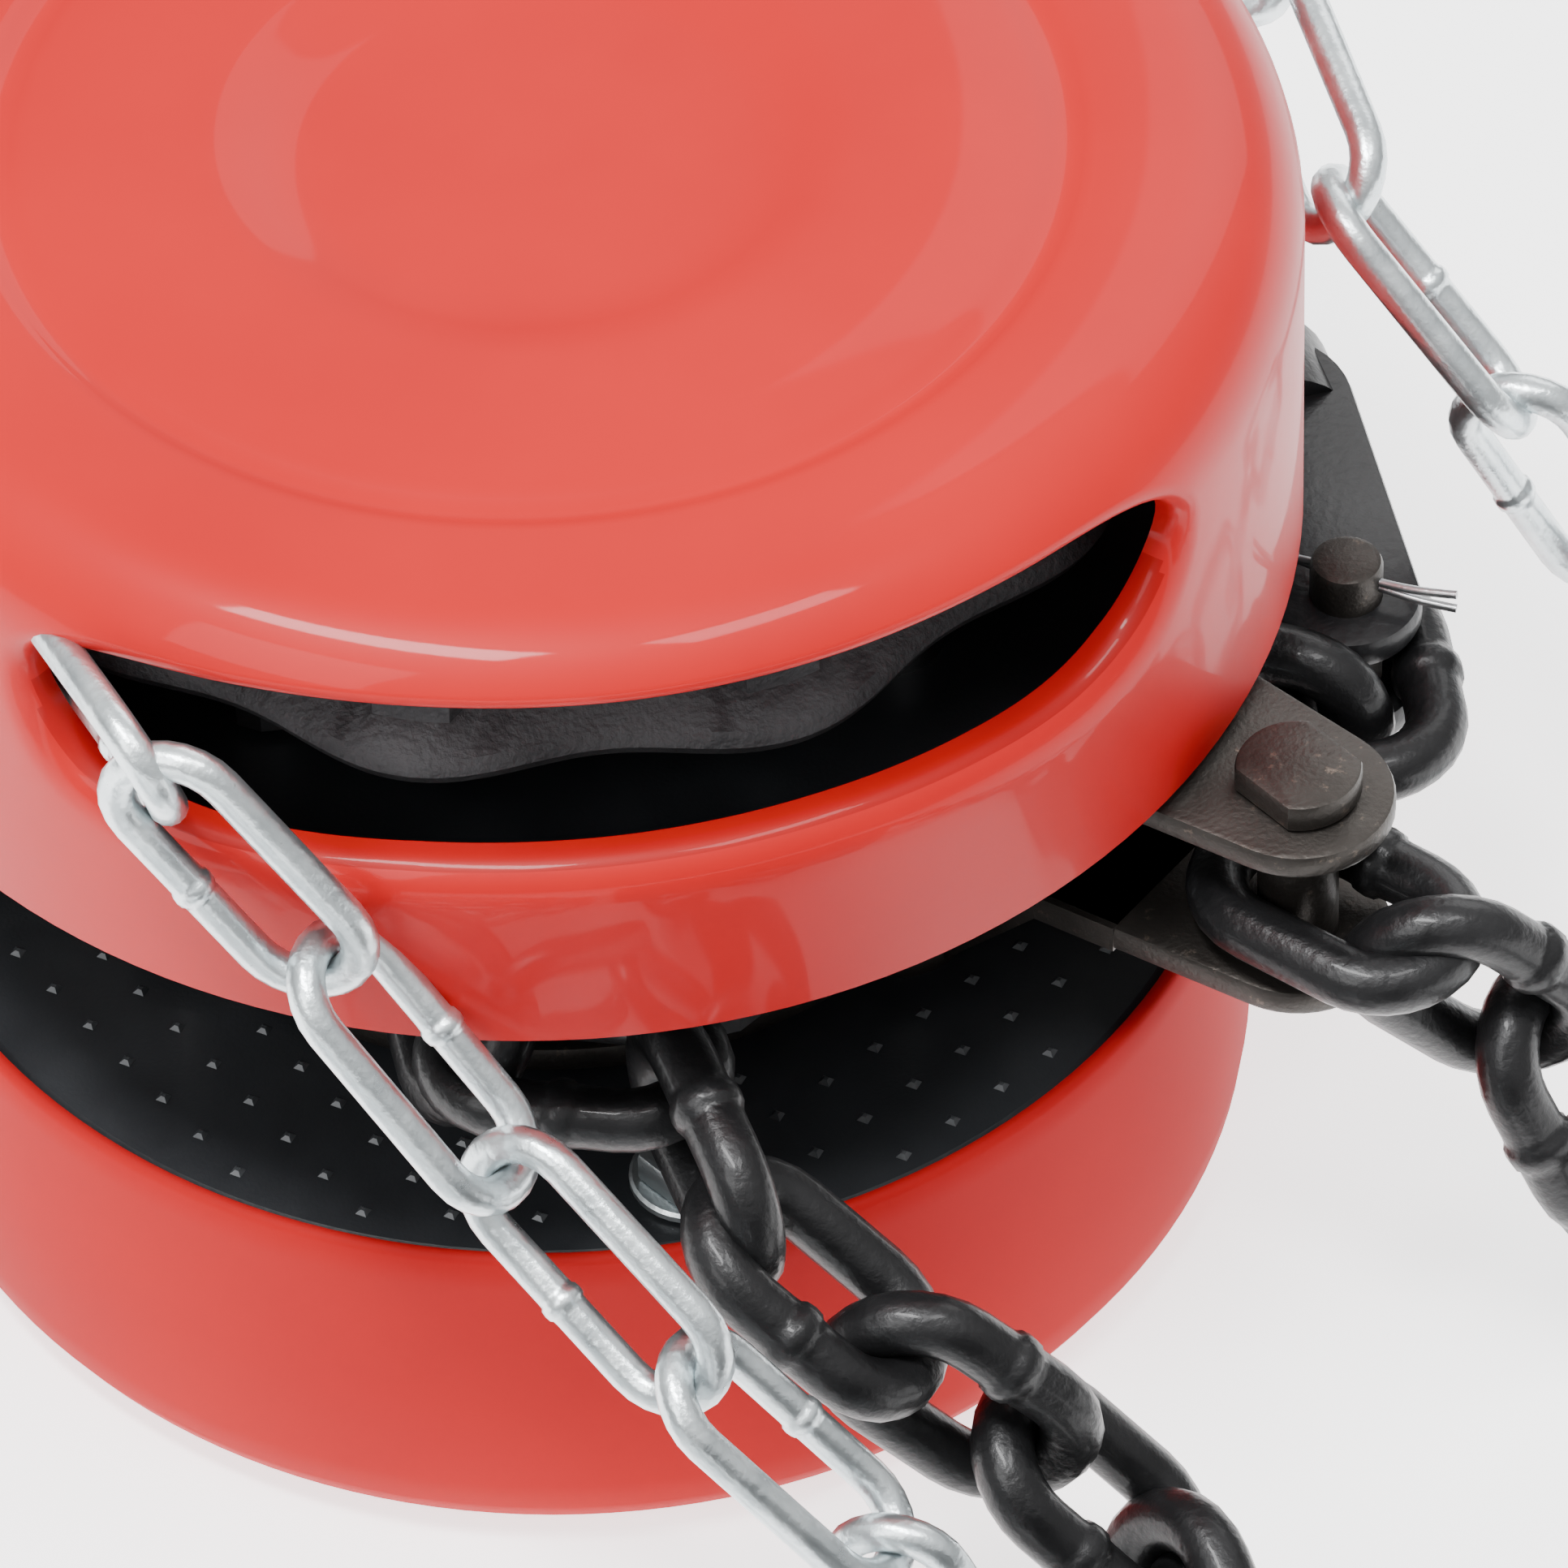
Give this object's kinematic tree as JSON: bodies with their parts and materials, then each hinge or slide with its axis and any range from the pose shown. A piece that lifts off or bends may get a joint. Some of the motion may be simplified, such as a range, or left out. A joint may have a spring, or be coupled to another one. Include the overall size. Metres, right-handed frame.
{
  "type": "chain hoist",
  "caption": "Hand-operated chain hoist with red round covers, a geared load sheave, a hand-chain wheel, two swivel hooks and its load and hand chains laid out beside it.",
  "frame": {"origin": "centre of the gear cover's flat outer face, on the main axis", "axes": "+Z along the drive shaft from the gear cover to the hand-wheel cover; +X the way the load chain is pulled; -X the top hook"},
  "size_m": [0.3401, 0.4111, 0.121],
  "materials": {
    "red_enamel": "glossy red enamel, lightly chipped and dusty",
    "black_plate": "satin black paint",
    "dark_steel": "dark blued steel, worn at the edges",
    "bright_steel": "machined steel, lightly oiled",
    "zinc": "bright zinc plate",
    "cast_black": "rough black casting",
    "black_chain": "black oxide chain, oiled",
    "black_hook": "black painted forging",
    "friction_lining": "pressed friction lining"
  },
  "bodies": {
    "housing": {"gear_cover": "red_enamel", "hand_wheel_cover": "red_enamel", "gear_plate": "black_plate", "wheel_plate": "black_plate", "wheel_side_frame": "dark_steel", "gear_side_frame": "dark_steel", "stay_bolt_1": "bright_steel", "stay_bolt_2": "bright_steel", "stay_bolt_3": "bright_steel", "gear_cover_nut_1": "zinc", "gear_cover_nut_2": "zinc", "gear_cover_nut_3": "zinc", "wheel_cover_nut_1": "zinc", "wheel_cover_nut_2": "zinc", "wheel_cover_nut_3": "zinc", "anchor_pin": "dark_steel", "anchor_end_link": "black_chain", "bearing_gear_side": "bright_steel", "bearing_wheel_side": "bright_steel", "chain_stripper": "dark_steel", "pawl_pin_1": "bright_steel", "pawl_pin_2": "bright_steel", "pawl_spring_1": "bright_steel", "pawl_spring_2": "bright_steel", "top_hook_pin": "bright_steel", "live_link_1": "black_chain", "live_link_2": "black_chain", "live_link_3": "black_chain", "hand_chain_strand_1": "zinc", "hand_chain_strand_2": "zinc", "load_chain_slack_1": "black_chain", "load_chain_slack_2": "black_chain", "hand_chain_coil": "zinc", "load_chain_coil": "black_chain"},
    "sheave": {"load_sheave": "dark_steel", "sheave_snap_ring": "bright_steel", "load_gear": "bright_steel"},
    "disc_gear_a": {"disc_gear_a": "bright_steel"},
    "disc_gear_b": {"disc_gear_b": "bright_steel"},
    "drive": {"drive_shaft": "bright_steel", "brake_hub": "bright_steel", "friction_disc_1": "friction_lining", "friction_disc_2": "friction_lining", "ratchet_disc": "bright_steel", "shaft_nut": "zinc"},
    "hand_wheel": {"hand_wheel": "cast_black"},
    "guide_roller_1": {"guide_roller_1": "bright_steel"},
    "guide_roller_2": {"guide_roller_2": "bright_steel"},
    "pawl_1": {"pawl_1": "bright_steel"},
    "pawl_2": {"pawl_2": "bright_steel"},
    "top_yoke": {"top_yoke": "black_hook"},
    "top_hook": {"top_hook": "black_hook", "top_hook_nut": "bright_steel"},
    "top_latch": {"top_latch": "zinc"},
    "bottom_yoke": {"bottom_yoke": "black_hook", "bottom_chain_pin": "dark_steel", "bottom_cotter": "bright_steel"},
    "bottom_hook": {"bottom_hook": "black_hook", "bottom_hook_nut": "bright_steel"},
    "bottom_latch": {"bottom_latch": "zinc"}
  },
  "joints": [
    {"name": "sheave_spin", "type": "hinge", "parent": "housing", "child": "sheave", "pos_m": [0, 0, 0.0554], "axis": [0, 0, 1], "continuous": true},
    {"name": "disc_gear_a_spin", "type": "hinge", "parent": "housing", "child": "disc_gear_a", "pos_m": [0.0102, 0.03139, 0.02], "axis": [0, 0, 1], "continuous": true},
    {"name": "disc_gear_b_spin", "type": "hinge", "parent": "housing", "child": "disc_gear_b", "pos_m": [-0.0102, -0.03139, 0.02], "axis": [0, 0, 1], "continuous": true},
    {"name": "drive_spin", "type": "hinge", "parent": "housing", "child": "drive", "pos_m": [0, 0, 0.08], "axis": [0, 0, 1], "continuous": true},
    {"name": "hand_wheel_screw", "type": "hinge", "parent": "drive", "child": "hand_wheel", "pos_m": [0, 0, 0.105], "axis": [0, 0, 1], "range_deg": [0, 25]},
    {"name": "guide_roller_1_spin", "type": "hinge", "parent": "housing", "child": "guide_roller_1", "pos_m": [0.022, 0.0396, 0.056], "axis": [0, 0, 1], "continuous": true},
    {"name": "guide_roller_2_spin", "type": "hinge", "parent": "housing", "child": "guide_roller_2", "pos_m": [0.014, -0.0365, 0.056], "axis": [0, 0, 1], "continuous": true},
    {"name": "pawl_1_swing", "type": "hinge", "parent": "housing", "child": "pawl_1", "pos_m": [0.02571, 0.03064, 0.0896], "axis": [0, 0, 1], "range_deg": [-14, 4], "stiffness_Nm_per_rad": 0.02},
    {"name": "pawl_2_swing", "type": "hinge", "parent": "housing", "child": "pawl_2", "pos_m": [-0.02571, -0.03064, 0.0896], "axis": [0, 0, 1], "range_deg": [-14, 4], "stiffness_Nm_per_rad": 0.02},
    {"name": "top_yoke_swing", "type": "hinge", "parent": "housing", "child": "top_yoke", "pos_m": [-0.064, 0, 0.0554], "axis": [0, 0, 1], "range_deg": [-40, 40]},
    {"name": "top_hook_swivel", "type": "hinge", "parent": "top_yoke", "child": "top_hook", "pos_m": [-0.11, 0, 0.0554], "axis": [-1, 0, 0], "continuous": true},
    {"name": "top_latch_pivot", "type": "hinge", "parent": "top_hook", "child": "top_latch", "pos_m": [-0.114, 0, 0.0649], "axis": [0, 1, 0], "range_deg": [-50, 0], "stiffness_Nm_per_rad": 0.02},
    {"name": "bottom_yoke_swing", "type": "hinge", "parent": "housing", "child": "bottom_yoke", "pos_m": [0.075, -0.004, 0.0554], "axis": [0, 0, 1], "range_deg": [-14, 3]},
    {"name": "bottom_hook_swivel", "type": "hinge", "parent": "bottom_yoke", "child": "bottom_hook", "pos_m": [0.06206, 0.0443, 0.0554], "axis": [-0.2588, 0.9659, 0], "continuous": true},
    {"name": "bottom_latch_pivot", "type": "hinge", "parent": "bottom_hook", "child": "bottom_latch", "pos_m": [0.05947, 0.05396, 0.0649], "axis": [-0.9659, -0.2588, 0], "range_deg": [0, 50], "stiffness_Nm_per_rad": 0.02}
  ],
  "couplings": [
    {"joint": "disc_gear_a_spin", "follows": "drive_spin", "ratio": -0.25},
    {"joint": "disc_gear_b_spin", "follows": "drive_spin", "ratio": -0.25},
    {"joint": "sheave_spin", "follows": "drive_spin", "ratio": 0.072581}
  ]
}
